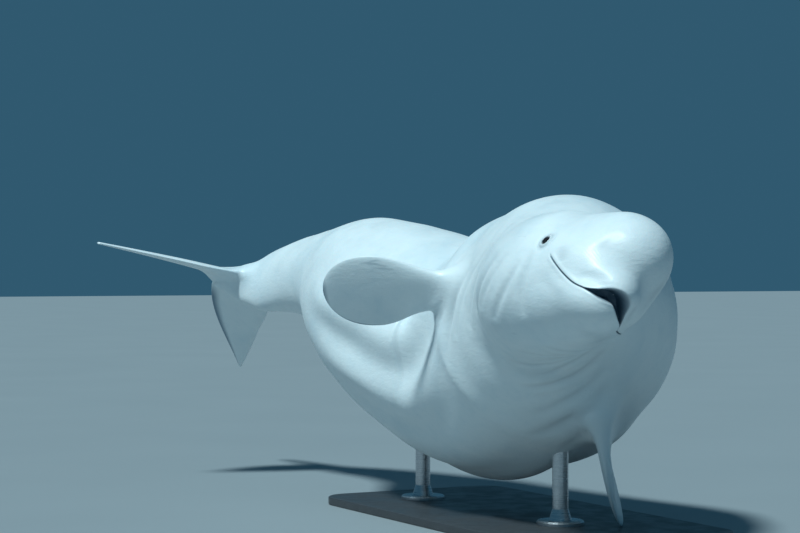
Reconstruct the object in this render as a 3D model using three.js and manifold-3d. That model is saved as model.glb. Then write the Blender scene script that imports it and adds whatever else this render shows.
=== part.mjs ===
// Beluga whale at life size: a still display model of the swimming animal, on a plain stand.
// Millimetres, +Z up, +X towards the head. The shape is set out on a straight animal, whose points are
// (back, left, up) from the tip of the beak, and is then bent along the swimming spine.

import * as THREE from "three";
import { mergeVertices } from "three/addons/utils/BufferGeometryUtils.js";
import Module from "manifold-3d";

const wasm = await Module();
wasm.setup();

// Driving dimensions of the body. Each section is an upper and a lower half ellipse, and `aside` moves
// its middle to the left, where the flesh bunches up inside the turn of the neck.
const gap = 0.3;
const bodyLength = 4240;
const tailRound = 40;
const headCentreBack = 450;
const bodySections = [
  { back: 300, halfWidth: 110, rise: 110, drop: 110, aside: 0 },
  { back: 450, halfWidth: 225, rise: 215, drop: 235, aside: 0 },
  { back: 700, halfWidth: 281, rise: 276, drop: 322, aside: 0 },
  { back: 1000, halfWidth: 384, rise: 365, drop: 426, aside: 5 },
  { back: 1200, halfWidth: 442, rise: 405, drop: 486, aside: 12 },
  { back: 1400, halfWidth: 487, rise: 450, drop: 520, aside: 4 },
  { back: 1900, halfWidth: 485, rise: 465, drop: 495, aside: 0 },
  { back: 2400, halfWidth: 429, rise: 440, drop: 445, aside: 0 },
  { back: 2900, halfWidth: 330, rise: 370, drop: 359, aside: 0 },
  { back: 3300, halfWidth: 198, rise: 247, drop: 237, aside: 0 },
  { back: 3650, halfWidth: 110, rise: 165, drop: 165, aside: 0 },
  { back: 3950, halfWidth: 61, rise: 92, drop: 92, aside: 0 },
  { back: 4200, halfWidth: 30, rise: 24, drop: 24, aside: 0 },
];

// Rounded masses of the head: centre and radii as (back, left, up), and how softly each one blends in
const headMasses = {
  cranium: { centre: [430, 0, 20], radii: [260, 215, 230], blend: 100 },
  throat: { centre: [420, 0, -60], radii: [260, 180, 180], blend: 80 },
  leftCheek: { centre: [290, 66, -30], radii: [170, 120, 112], blend: 70 },
  rightCheek: { centre: [290, -66, -30], radii: [170, 120, 112], blend: 70 },
  melon: { centre: [224, 0, 84], radii: [194, 162, 163], blend: 70 },
  upperJaw: { centre: [205, 0, -78], radii: [172, 120, 78], blend: 55 },
  upperLip: { centre: [84, 0, -96], radii: [62, 58, 34], blend: 50 },
  lowerJaw: { centre: [250, 0, -158], radii: [176, 116, 62], blend: 60 },
  chin: { centre: [152, 0, -166], radii: [76, 78, 46], blend: 50 },
};
const beakHeight = -110;

// How the animal swims: heading, pitch and roll in degrees at places along the back.
// It banks right side up, with the neck turned and the tail swung to the right.
const poseStations = [
  { back: 0, heading: 0.3, pitch: 4.7, roll: 44 },
  { back: 420, heading: 0.3, pitch: 4.7, roll: 44 },
  { back: 750, heading: -44, pitch: 1.4, roll: 44 },
  { back: 1100, heading: -29.5, pitch: 16, roll: 43.5 },
  { back: 1600, heading: -4.5, pitch: 24.5, roll: 40 },
  { back: 2200, heading: 13, pitch: -17.5, roll: 34 },
  { back: 2800, heading: -0.5, pitch: -16.5, roll: 29 },
  { back: 3400, heading: 7.5, pitch: -2, roll: 25.5 },
  { back: 3850, heading: 15, pitch: 8, roll: 25 },
  { back: 4150, heading: 24, pitch: -8, roll: 26 },
];
const spineStep = 10;
const spineEnd = 4500;

// Facets: around the body, over the head, along the trunk, and on the smaller pieces
const facetsAround = 48;
const headRings = 22;
const trunkRings = 46;
const blade = { rows: 20, around: 18 };
const strands = { lips: 26, lipSides: 6, blowhole: 12, ridge: 14, ridgeSides: 8 };
const eyeball = { around: 18, rows: 12, lidSides: 8 };

// Where the body is parted into the pieces that a person would name
const partings = { neckFront: 590, chestFront: 860, bellyFront: 1750, tailFront: 2980 };

// Face
const eye = {
  back: 346,
  up: -22,
  radius: 20,
  sunk: 12,
  lidRadius: 19,
  lidTube: 6,
  lidSunk: 1,
  lidLength: 1.1,
  lidHeight: 0.95,
};
const mouthLine = [
  { back: 292, up: -72 },
  { back: 268, up: -100 },
  { back: 220, up: -124 },
  { back: 160, up: -148 },
  { back: 105, up: -155 },
  { back: 75, up: -151 },
];
const mouth = {
  depth: 28,
  depthAtFront: 80,
  gap: 3,
  gapAtFront: 50,
  opensFrom: 0.6,
  frontUp: -130,
  lipRadius: 8,
  lipShift: 6,
  lipTaper: 0.125,
  cornerShare: 0.35,
};
const blowhole = { back: 372, aside: 8, halfWidth: 34, sag: 14, slit: 5, depth: 26, rim: 8 };

// Low ridge where other whales have a back fin
const backRidge = { start: 1860, end: 2800, width: 52, height: 16, sunk: 4 };

// Fins. Directions are (back, left, up) on the straight animal.
const flipper = {
  length: 525,
  rootChord: 115,
  chord: 300,
  widestAt: 0.6,
  thickness: 84,
  tipThickness: 22,
  tipRoundness: 2.3,
  sunk: 90,
  bendOver: 110,
  step: 10,
};
const flipperPose = {
  right: { back: 1200, around: 124, out: [0.25, -0.7, -0.665], lead: [-0.66, -0.55, 0.48], curl: 42 },
  left: { back: 1180, around: -124, out: [0.8, 0.52, -0.3], lead: [-0.6, 0.5, -0.62], curl: 42 },
};
const fluke = {
  front: 3880,
  notch: 4225,
  tip: 4400,
  tipChord: 22,
  halfSpan: 645,
  lobe: 95,
  rise: 30,
  stiffSpan: 150,
  thickness: 60,
  tipThickness: 15,
};
const flukeDroop = { right: 0.32, left: 0.5 };

// Stand
const stand = {
  floorDrop: 956,
  under: 1780,
  length: 1900,
  width: 900,
  thickness: 35,
  corner: 120,
  bevel: 6,
};
const rod = {
  radius: 32,
  footRadius: 95,
  footHeight: 16,
  footBevel: 6,
  collarRadius: 46,
  collarHeight: 60,
};
const rodStations = { front: 1330, rear: 2420 };

const skinMaterial = { color: 0xdfe9ee, roughness: 0.38, metalness: 0 };
const eyeMaterial = { color: 0x0d0e10, roughness: 0.08, metalness: 0 };
const standMaterial = { color: 0x2b2e33, roughness: 0.45, metalness: 0.1 };
const rodMaterial = { color: 0xb9bdc2, roughness: 0.3, metalness: 1 };

// A smooth curve through (x, y) points that never overshoots them
function monotoneCurve(xs, ys) {
  const slopes = xs.slice(1).map((x, i) => (ys[i + 1] - ys[i]) / (x - xs[i]));
  const tangents = xs.map((x, i) => {
    if (i === 0 || i === xs.length - 1) return 0;
    const before = slopes[i - 1];
    const after = slopes[i];
    if (before * after <= 0) return 0;
    const wide = xs[i + 1] - xs[i];
    const narrow = x - xs[i - 1];
    const weightBefore = 2 * wide + narrow;
    const weightAfter = wide + 2 * narrow;
    return (weightBefore + weightAfter) / (weightBefore / before + weightAfter / after);
  });
  return (x) => {
    if (x <= xs[0]) return ys[0];
    if (x >= xs[xs.length - 1]) return ys[ys.length - 1];
    let i = 0;
    while (x > xs[i + 1]) i += 1;
    const span = xs[i + 1] - xs[i];
    const t = (x - xs[i]) / span;
    const t2 = t * t;
    const t3 = t2 * t;
    return (
      (2 * t3 - 3 * t2 + 1) * ys[i] +
      (t3 - 2 * t2 + t) * span * tangents[i] +
      (3 * t2 - 2 * t3) * ys[i + 1] +
      (t3 - t2) * span * tangents[i + 1]
    );
  };
}

function curveOf(rows, key) {
  return monotoneCurve(rows.map((row) => row.back), rows.map((row) => row[key]));
}

const halfWidthAt = curveOf(bodySections, "halfWidth");
const riseAt = curveOf(bodySections, "rise");
const dropAt = curveOf(bodySections, "drop");
const asideAt = curveOf(bodySections, "aside");
const headingAt = curveOf(poseStations, "heading");
const pitchAt = curveOf(poseStations, "pitch");
const rollAt = curveOf(poseStations, "roll");

// Signed distances to the skin of the straight animal, below zero inside
function ellipsoidDistance(point, mass) {
  const scaled = new THREE.Vector3();
  const steep = new THREE.Vector3();
  ["x", "y", "z"].forEach((axis, i) => {
    scaled[axis] = (point[axis] - mass.centre[i]) / mass.radii[i];
    steep[axis] = scaled[axis] / mass.radii[i];
  });
  const reach = scaled.length();
  return (reach * (reach - 1)) / (steep.length() + 1e-9);
}

function smoothUnion(a, b, blend) {
  const share = THREE.MathUtils.clamp(0.5 + (0.5 * (b - a)) / blend, 0, 1);
  return b * (1 - share) + a * share - blend * share * (1 - share);
}

function trunkDistance(point) {
  const first = bodySections[0].back;
  const back = Math.max(point.x, first);
  const halfWidth = halfWidthAt(back);
  const halfHeight = point.z > 0 ? riseAt(back) : dropAt(back);
  const reach = Math.hypot((point.y - asideAt(back)) / halfWidth, point.z / halfHeight);
  return (reach - 1) * Math.sqrt(halfWidth * halfHeight) * 0.95 + Math.max(0, first - point.x);
}

function skinDistance(point) {
  return Object.values(headMasses).reduce(
    (distance, mass) => smoothUnion(distance, ellipsoidDistance(point, mass), mass.blend),
    trunkDistance(point),
  );
}

// Walks in along a ray from far outside to the first skin it meets
function castSkin(origin, direction) {
  const farthest = 750;
  const coarse = 24;
  const halvings = 22;
  const at = (reach) => origin.clone().addScaledVector(direction, reach);
  let outside = farthest;
  let inside = 0;
  for (let i = 1; i < coarse; i += 1) {
    const reach = farthest * (1 - i / (coarse - 1));
    if (skinDistance(at(reach)) < 0) {
      inside = reach;
      break;
    }
    outside = reach;
  }
  for (let i = 0; i < halvings; i += 1) {
    const middle = (inside + outside) / 2;
    if (skinDistance(at(middle)) < 0) inside = middle;
    else outside = middle;
  }
  return (inside + outside) / 2;
}

function skinNormal(point) {
  const step = 2;
  const slope = (axis) => {
    const ahead = point.clone().addScaledVector(axis, step);
    const behind = point.clone().addScaledVector(axis, -step);
    return skinDistance(ahead) - skinDistance(behind);
  };
  const axes = [new THREE.Vector3(1, 0, 0), new THREE.Vector3(0, 1, 0), new THREE.Vector3(0, 0, 1)];
  return new THREE.Vector3(...axes.map(slope)).normalize();
}

// The spine: points and frames every few millimetres, walked back from the beak
function spineFrame(back) {
  const angles = [headingAt, pitchAt, rollAt].map((at) => THREE.MathUtils.degToRad(at(back)));
  const [heading, pitch, roll] = angles;
  const forward = new THREE.Vector3(
    Math.cos(heading) * Math.cos(pitch),
    Math.sin(heading) * Math.cos(pitch),
    Math.sin(pitch),
  );
  const level = new THREE.Vector3(-Math.sin(heading), Math.cos(heading), 0);
  const upright = forward.clone().cross(level);
  const left = level.clone().multiplyScalar(Math.cos(roll)).addScaledVector(upright, -Math.sin(roll));
  const up = upright.clone().multiplyScalar(Math.cos(roll)).addScaledVector(level, Math.sin(roll));
  return { forward, left, up };
}

const spine = [];
for (let back = 0; back <= spineEnd; back += spineStep) {
  const frame = spineFrame(back);
  const last = spine[spine.length - 1];
  if (last) {
    const forward = last.forward.clone().add(frame.forward).multiplyScalar(0.5);
    frame.centre = last.centre.clone().addScaledVector(forward, -spineStep);
  } else {
    frame.centre = frame.up.clone().multiplyScalar(-beakHeight);
  }
  spine.push(frame);
}

function spineAt(back) {
  const place = THREE.MathUtils.clamp(back / spineStep, 0, spine.length - 1.001);
  const i = Math.floor(place);
  const mix = (key) => spine[i][key].clone().lerp(spine[i + 1][key], place - i);
  return {
    centre: mix("centre"),
    forward: mix("forward"),
    left: mix("left"),
    up: mix("up"),
    back: place * spineStep,
  };
}

// Carries a point of the straight animal onto the bent one
function bend(point) {
  const frame = spineAt(point.x);
  return frame.centre
    .addScaledVector(frame.left, point.y)
    .addScaledVector(frame.up, point.z)
    .addScaledVector(frame.forward, frame.back - point.x);
}

function bendDirection(back, direction) {
  const frame = spineAt(back);
  return frame.left
    .multiplyScalar(direction.y)
    .addScaledVector(frame.up, direction.z)
    .addScaledVector(frame.forward, -direction.x)
    .normalize();
}

// A closed shape from rings: a ball whose rows of points are moved to place(row 0 to 1, turn 0 to 1)
function ringShape(rows, around, place) {
  const geometry = new THREE.SphereGeometry(1, around, rows);
  const position = geometry.attributes.position;
  for (let i = 0; i < position.count; i += 1) {
    const row = Math.floor(i / (around + 1));
    const turn = (i % (around + 1)) % around;
    const point = place(row / rows, row === 0 || row === rows ? 0 : turn / around);
    position.setXYZ(i, point.x, point.y, point.z);
  }
  return geometry;
}

function solid(geometry) {
  const bare = geometry.clone();
  bare.deleteAttribute("normal");
  bare.deleteAttribute("uv");
  const weld = 1e-3;
  const merged = mergeVertices(bare, weld);
  const mesh = new wasm.Mesh({
    numProp: 3,
    vertProperties: Float32Array.from(merged.attributes.position.array),
    triVerts: Uint32Array.from(merged.index.array),
  });
  mesh.merge();
  const made = new wasm.Manifold(mesh);
  if (made.volume() >= 0) return made;
  const index = merged.index.array;
  for (let i = 0; i < index.length; i += 3) [index[i], index[i + 1]] = [index[i + 1], index[i]];
  return new wasm.Manifold(new wasm.Mesh({
    numProp: 3,
    vertProperties: Float32Array.from(merged.attributes.position.array),
    triVerts: Uint32Array.from(index),
  }));
}

function largest(manifold) {
  return manifold.decompose().reduce((best, piece) => (piece.volume() > best.volume() ? piece : best));
}

// The trunk and head as one skin, swollen by `grown`
function bodyGeometry(grown) {
  const rows = headRings + trunkRings;
  const fanCentre = new THREE.Vector3(headCentreBack, 0, 0);
  const beakAxis = new THREE.Vector3(0, 0, beakHeight).sub(fanCentre).normalize();
  const straightAxis = new THREE.Vector3(-1, 0, 0);
  const left = new THREE.Vector3(0, 1, 0);
  return ringShape(rows, facetsAround, (along, turn) => {
    const row = Math.round(along * rows);
    const angle = turn * 2 * Math.PI;
    if (row === rows) return bend(new THREE.Vector3(bodyLength - tailRound + grown, 0, 0));
    const fan = Math.min(1, row / headRings);
    const axis = straightAxis.clone().lerp(beakAxis, 1 - fan).normalize();
    const up = new THREE.Vector3(0, 0, 1).addScaledVector(axis, -axis.z).normalize();
    const outward = up.multiplyScalar(Math.cos(angle)).addScaledVector(left, Math.sin(angle));
    const opening = (fan * Math.PI) / 2;
    const direction = axis.multiplyScalar(Math.cos(opening)).addScaledVector(outward, Math.sin(opening));
    const origin = fanCentre.clone();
    if (row > headRings) origin.x += ((row - headRings) / trunkRings) * (bodyLength - headCentreBack);
    const reach = castSkin(origin, direction) + grown;
    return bend(origin.addScaledVector(direction, reach));
  });
}

// A strand laid on the skin: an oval section with its middle `lift` out of the skin and `shift` to one side
function strand(places, steps, sides, section) {
  const curve = new THREE.CatmullRomCurve3(places.map((place) => place.point), false, "centripetal");
  const normals = new THREE.CatmullRomCurve3(places.map((place) => place.normal), false, "centripetal");
  const rows = steps + 2;
  return ringShape(rows, sides, (along, turn) => {
    const share = THREE.MathUtils.clamp((along * rows - 1) / steps, 0, 1);
    const middle = curve.getPoint(share);
    const tangent = curve.getTangent(share);
    const rough = normals.getPoint(share);
    const normal = rough.addScaledVector(tangent, -rough.dot(tangent)).normalize();
    const side = tangent.clone().cross(normal);
    const { reach, half, lift, shift } = section(share);
    middle.addScaledVector(normal, lift).addScaledVector(side, shift);
    if (along === 0 || along === 1) return middle;
    const angle = turn * 2 * Math.PI;
    middle.addScaledVector(normal, reach * Math.cos(angle));
    return middle.addScaledVector(side, half * Math.sin(angle));
  });
}

// Narrow at both ends and full in the middle
function spindle(share) {
  const bluntEnd = 0.06;
  return Math.sin(Math.PI * THREE.MathUtils.clamp(share, bluntEnd, 1 - bluntEnd));
}

// A point on the skin beside the head, on the bent animal, with its normal
function cheekPlace(back, up, side) {
  const origin = new THREE.Vector3(back, 0, up);
  const direction = new THREE.Vector3(0, side, 0);
  const point = origin.addScaledVector(direction, castSkin(origin, direction));
  return { point: bend(point), normal: bendDirection(back, skinNormal(point)) };
}

function frontPlace() {
  const origin = new THREE.Vector3(headCentreBack, 0, mouth.frontUp);
  const direction = new THREE.Vector3(-1, 0, 0);
  const point = origin.addScaledVector(direction, castSkin(origin, direction));
  return { point: bend(point), normal: bendDirection(0, direction) };
}

function mouthPlaces() {
  const side = (sign) => mouthLine.map((place) => cheekPlace(place.back, place.up, sign));
  return [...side(-1), frontPlace(), ...side(1).reverse()];
}

// How far the lips are parted: shut from the corners to the front third, then open to the front
function mouthOpen(share) {
  const towardsFront = 1 - Math.abs(2 * share - 1);
  return THREE.MathUtils.smoothstep(towardsFront, mouth.opensFrom, 1);
}

function mouthSolids() {
  const places = mouthPlaces();
  const halfGap = (share) => THREE.MathUtils.lerp(mouth.gap, mouth.gapAtFront, mouthOpen(share)) / 2;
  const lip = (sign) => solid(strand(places, strands.lips, strands.lipSides, (share) => {
    const fade = Math.min(1, share / mouth.lipTaper, (1 - share) / mouth.lipTaper);
    const radius = mouth.lipRadius * THREE.MathUtils.lerp(mouth.cornerShare, 1, fade);
    const shift = sign * (mouth.lipShift + halfGap(share));
    return { reach: radius, half: radius, lift: -radius / 2, shift };
  }));
  const slit = solid(strand(places, strands.lips, strands.lipSides, (share) => {
    const reach = THREE.MathUtils.lerp(mouth.depth, mouth.depthAtFront, mouthOpen(share));
    return { reach, half: halfGap(share), lift: 0, shift: 0 };
  }));
  return { lips: lip(1).add(lip(-1)), slit };
}

function blowholeSolids() {
  const centre = new THREE.Vector3(blowhole.back, blowhole.aside, 0);
  const places = [-1, -0.5, 0, 0.5, 1].map((across) => {
    const origin = new THREE.Vector3(
      centre.x + blowhole.sag * across * across,
      centre.y + blowhole.halfWidth * across,
      0,
    );
    const direction = new THREE.Vector3(0, 0, 1);
    const point = origin.addScaledVector(direction, castSkin(origin, direction));
    return { point: bend(point), normal: bendDirection(point.x, skinNormal(point)) };
  });
  const shape = (reach, half, lift) =>
    solid(strand(places, strands.blowhole, strands.lipSides, (share) => (
      { reach, half: half * Math.sqrt(spindle(share)), lift, shift: 0 }
    )));
  return {
    rim: shape(blowhole.rim, blowhole.rim * 2, -blowhole.rim / 2),
    slit: shape(blowhole.depth, blowhole.slit, 0),
  };
}

function backRidgeSolid() {
  const upward = new THREE.Vector3(0, 0, 1);
  const length = backRidge.end - backRidge.start;
  const places = [0, 0.25, 0.5, 0.75, 1].map((share) => {
    const origin = new THREE.Vector3(backRidge.start + share * length, 0, 0);
    const point = origin.addScaledVector(upward, castSkin(origin, upward));
    return { point: bend(point), normal: bendDirection(point.x, skinNormal(point)) };
  });
  return solid(strand(places, strands.ridge, strands.ridgeSides, (share) => {
    const reach = backRidge.height * spindle(share);
    return { reach, half: (backRidge.width / 2) * spindle(share), lift: -backRidge.sunk, shift: 0 };
  }));
}

function eyeSolids(side) {
  const { point, normal } = cheekPlace(eye.back, eye.up, side);
  const centre = point.clone().addScaledVector(normal, -eye.sunk);
  const along = bendDirection(eye.back, new THREE.Vector3(-1, 0, 0));
  const across = normal.clone().cross(along).normalize();
  const turn = new THREE.Matrix4().makeBasis(across.clone().cross(normal).normalize(), across, normal);
  const ball = (radius) => {
    const sphere = new THREE.SphereGeometry(radius, eyeball.around, eyeball.rows);
    return solid(sphere.applyMatrix4(turn).translate(...centre));
  };
  const lid = new THREE.TorusGeometry(eye.lidRadius, eye.lidTube, eyeball.lidSides, eyeball.around);
  const lidCentre = point.clone().addScaledVector(normal, -eye.lidSunk);
  lid.scale(eye.lidLength, eye.lidHeight, 1).applyMatrix4(turn).translate(...lidCentre);
  return { ball: ball(eye.radius), socket: ball(eye.radius + gap), lid: solid(lid) };
}

// A fin with a round leading edge and a thin trailing one. place(share) gives the middle of the chord,
// half the chord towards the leading edge, and half the thickness towards the upper face.
function finShape(place) {
  const { rows, around } = blade;
  return ringShape(rows, around, (along, turn) => {
    const share = THREE.MathUtils.clamp((along * rows - 1) / (rows - 2), 0, 1);
    const { middle, lead, face } = place(share);
    if (along === 0 || along === 1) return middle;
    const angle = turn * 2 * Math.PI;
    const fullness = Math.sin(angle) * THREE.MathUtils.lerp(0.4, 1, (1 + Math.cos(angle)) / 2);
    return middle.clone().addScaledVector(lead, Math.cos(angle)).addScaledVector(face, fullness);
  });
}

function flipperChord(share) {
  const { rootChord, chord, widestAt, tipRoundness } = flipper;
  if (share < widestAt) {
    const eased = THREE.MathUtils.smoothstep(share, 0, widestAt);
    return THREE.MathUtils.lerp(rootChord, chord, eased);
  }
  const towardsTip = (share - widestAt) / (1 - widestAt);
  return chord * Math.sqrt(Math.max(0.004, 1 - towardsTip ** tipRoundness));
}

// The middle line of a flipper: it leaves the body square to the skin and bends over to its own direction
function flipperLine(root, square, out) {
  const places = [{ at: new THREE.Vector3(), direction: square }];
  for (let reach = -flipper.sunk; reach < flipper.length; reach += flipper.step) {
    const turned = THREE.MathUtils.smoothstep(reach, -flipper.sunk, flipper.bendOver);
    const direction = square.clone().lerp(out, turned).normalize();
    const at = places[places.length - 1].at.clone().addScaledVector(direction, flipper.step);
    places.push({ at, direction });
  }
  const start = places[flipper.sunk / flipper.step].at.clone().sub(root);
  places.forEach((place) => place.at.sub(start));
  return (reach) => {
    const place = THREE.MathUtils.clamp((reach + flipper.sunk) / flipper.step, 0, places.length - 1.001);
    const i = Math.floor(place);
    const mix = (key) => places[i][key].clone().lerp(places[i + 1][key], place - i);
    return { at: mix("at"), direction: mix("direction").normalize() };
  };
}

function flipperGeometry(side) {
  const pose = flipperPose[side];
  const angle = THREE.MathUtils.degToRad(pose.around);
  const outward = new THREE.Vector3(0, -Math.sin(angle), Math.cos(angle));
  const origin = new THREE.Vector3(pose.back, 0, 0);
  const root = bend(origin.addScaledVector(outward, castSkin(origin, outward)));
  const out = bendDirection(pose.back, new THREE.Vector3(...pose.out));
  const edge = bendDirection(pose.back, new THREE.Vector3(...pose.lead));
  const line = flipperLine(root, bendDirection(pose.back, outward), out);
  return finShape((share) => {
    const reach = THREE.MathUtils.lerp(-flipper.sunk, flipper.length, share);
    const outShare = Math.max(0, reach / flipper.length);
    const { at, direction } = line(reach);
    const lead = edge.clone().addScaledVector(direction, -edge.dot(direction)).normalize();
    const palm = side === "right" ? lead.clone().cross(direction) : direction.clone().cross(lead);
    const thickness = THREE.MathUtils.lerp(flipper.thickness, flipper.tipThickness, outShare ** 0.8);
    return {
      middle: at.addScaledVector(palm, -pose.curl * outShare ** 2.5),
      lead: lead.multiplyScalar(flipperChord(outShare) / 2),
      face: palm.multiplyScalar(thickness / 2),
    };
  });
}

// One fluke, from the middle line out to its tip: swept back, with a rounded lobe behind and a droop
function flukeGeometry(name) {
  const side = name === "left" ? 1 : -1;
  const straight = (share) => {
    const front = THREE.MathUtils.lerp(fluke.front, fluke.tip, share ** 1.25);
    const lobe = fluke.lobe * Math.sin(Math.PI * share ** 0.75) ** 1.2;
    const rear = THREE.MathUtils.lerp(fluke.notch, fluke.tip + fluke.tipChord, share) + lobe;
    const thickness = THREE.MathUtils.lerp(fluke.thickness, fluke.tipThickness, share ** 1.1);
    const span = fluke.halfSpan * share;
    const droop = (flukeDroop[name] * span * span) / (span + fluke.stiffSpan);
    return {
      middle: new THREE.Vector3((front + rear) / 2, side * span, fluke.rise - droop),
      lead: new THREE.Vector3((front - rear) / 2, 0, 0),
      face: new THREE.Vector3(0, 0, thickness / 2),
    };
  };
  const geometry = finShape(straight);
  const position = geometry.attributes.position;
  for (let i = 0; i < position.count; i += 1) {
    const point = bend(new THREE.Vector3().fromBufferAttribute(position, i));
    position.setXYZ(i, point.x, point.y, point.z);
  }
  return geometry;
}

// A block set square to the spine, for the thin partings between the pieces
function blockAcross(back, length, width, height) {
  const frame = spineAt(back);
  const turn = new THREE.Matrix4().makeBasis(frame.forward, frame.left, frame.up).setPosition(frame.centre);
  return solid(new THREE.BoxGeometry(length, width, height).applyMatrix4(turn));
}

// Stand
function standPlace() {
  const centre = spineAt(stand.under).centre;
  return new THREE.Vector3(centre.x, centre.y, -stand.floorDrop);
}

function standBase() {
  const { length, width, thickness, corner, bevel } = stand;
  const outline = new THREE.Shape();
  const x = length / 2 - bevel;
  const y = width / 2 - bevel;
  outline.absarc(x - corner, y - corner, corner, 0, Math.PI / 2);
  outline.absarc(-x + corner, y - corner, corner, Math.PI / 2, Math.PI);
  outline.absarc(-x + corner, -y + corner, corner, Math.PI, 1.5 * Math.PI);
  outline.absarc(x - corner, -y + corner, corner, 1.5 * Math.PI, 2 * Math.PI);
  const plate = new THREE.ExtrudeGeometry(outline, {
    depth: thickness - 2 * bevel,
    bevelThickness: bevel,
    bevelSize: bevel,
    bevelSegments: 2,
    curveSegments: 6,
  });
  const place = standPlace();
  return solid(plate.translate(place.x, place.y, place.z + bevel));
}

function standRod(back, grownBody) {
  const top = spineAt(back).centre;
  const foot = -stand.floorDrop + stand.thickness + gap;
  const height = top.z - foot;
  const { radius, footRadius, footHeight, footBevel, collarRadius, collarHeight } = rod;
  const profile = [
    [0, 0],
    [footRadius, 0],
    [footRadius, footHeight - footBevel],
    [footRadius - footBevel, footHeight],
    [collarRadius, footHeight],
    [(radius + collarRadius) / 2, (footHeight + collarHeight) / 2],
    [radius, collarHeight],
    [radius, height],
    [0, height],
  ].map(([x, y]) => new THREE.Vector2(x, y));
  const turned = new THREE.LatheGeometry(profile, 28).rotateX(Math.PI / 2).translate(top.x, top.y, foot);
  const lowest = (piece) => piece.boundingBox().min[2];
  const cut = solid(turned).subtract(grownBody).decompose();
  return cut.reduce((best, piece) => (lowest(piece) < lowest(best) ? piece : best));
}

// The scene
const whale = new THREE.Group();

function addPart(name, manifold, look) {
  const { vertProperties, triVerts } = manifold.getMesh();
  const geometry = new THREE.BufferGeometry();
  geometry.setAttribute("position", new THREE.BufferAttribute(Float32Array.from(vertProperties), 3));
  geometry.setIndex(new THREE.BufferAttribute(Uint32Array.from(triVerts), 1));
  geometry.computeVertexNormals();
  const mesh = new THREE.Mesh(geometry, new THREE.MeshStandardMaterial(look));
  mesh.name = name;
  whale.add(mesh);
}

const grownBody = solid(bodyGeometry(gap * 1.2));
const face = { mouth: mouthSolids(), blowhole: blowholeSolids(), right: eyeSolids(-1), left: eyeSolids(1) };

const body = solid(bodyGeometry(0))
  .add(face.mouth.lips)
  .add(face.blowhole.rim)
  .add(backRidgeSolid())
  .add(face.right.lid)
  .add(face.left.lid)
  .subtract(face.mouth.slit)
  .subtract(face.blowhole.slit)
  .subtract(face.right.socket)
  .subtract(face.left.socket);

const bodyNames = ["head", "neck", "chest", "belly", "tail_stock"];
const acrossBody = 1300;
const smallestPiece = 1e5;
const partedBody = Object.values(partings)
  .reduce((rest, back) => rest.subtract(blockAcross(back, gap, acrossBody, acrossBody)), body)
  .decompose()
  .filter((piece) => piece.volume() > smallestPiece);
const alongSpine = (piece) => {
  const { min, max } = piece.boundingBox();
  const middle = new THREE.Vector3(...min).add(new THREE.Vector3(...max)).multiplyScalar(0.5);
  const nearness = (frame) => frame.centre.distanceTo(middle);
  return spine.reduce((best, frame) => (nearness(frame) < nearness(best) ? frame : best));
};
partedBody.sort((a, b) => spine.indexOf(alongSpine(a)) - spine.indexOf(alongSpine(b)));
bodyNames.forEach((name, i) => addPart(name, partedBody[i], skinMaterial));

addPart("eye_right", face.right.ball, eyeMaterial);
addPart("eye_left", face.left.ball, eyeMaterial);

for (const side of ["right", "left"]) {
  addPart("flipper_" + side, largest(solid(flipperGeometry(side)).subtract(grownBody)), skinMaterial);
}
const rearBlock = 2 * (fluke.notch - fluke.front) + 4 * fluke.lobe;
const middleCut = blockAcross(fluke.notch, rearBlock, gap, rearBlock);
for (const side of ["right", "left"]) {
  const lobe = solid(flukeGeometry(side)).subtract(middleCut).subtract(grownBody);
  addPart("fluke_" + side, largest(lobe), skinMaterial);
}

addPart("stand_base", standBase(), standMaterial);
for (const [place, back] of Object.entries(rodStations)) {
  addPart("stand_rod_" + place, standRod(back, grownBody), rodMaterial);
}

// The origin is under the middle of the whole, on the floor
const bounds = new THREE.Box3().setFromObject(whale);
const middle = bounds.getCenter(new THREE.Vector3());
whale.position.set(-middle.x, -middle.y, -bounds.min.z);

export default whale;
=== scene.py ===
import math

import bmesh
import bpy
import numpy as np
from mathutils import Matrix, Vector, noise
from mathutils.bvhtree import BVHTree


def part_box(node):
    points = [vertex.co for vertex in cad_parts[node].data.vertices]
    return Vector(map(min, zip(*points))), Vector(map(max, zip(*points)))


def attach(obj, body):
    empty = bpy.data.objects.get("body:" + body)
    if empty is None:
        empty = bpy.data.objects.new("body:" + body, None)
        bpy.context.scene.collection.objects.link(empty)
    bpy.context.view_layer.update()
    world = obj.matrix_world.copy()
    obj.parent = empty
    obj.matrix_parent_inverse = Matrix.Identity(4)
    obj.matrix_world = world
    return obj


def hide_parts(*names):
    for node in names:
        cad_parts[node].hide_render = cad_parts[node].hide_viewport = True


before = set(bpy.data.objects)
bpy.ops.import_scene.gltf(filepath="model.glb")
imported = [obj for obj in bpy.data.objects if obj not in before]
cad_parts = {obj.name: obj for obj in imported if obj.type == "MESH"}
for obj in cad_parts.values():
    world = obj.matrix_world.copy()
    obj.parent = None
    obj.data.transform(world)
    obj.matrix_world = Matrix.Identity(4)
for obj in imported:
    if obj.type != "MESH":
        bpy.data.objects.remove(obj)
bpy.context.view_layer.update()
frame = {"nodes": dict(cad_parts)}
print("frame loaded")

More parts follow.
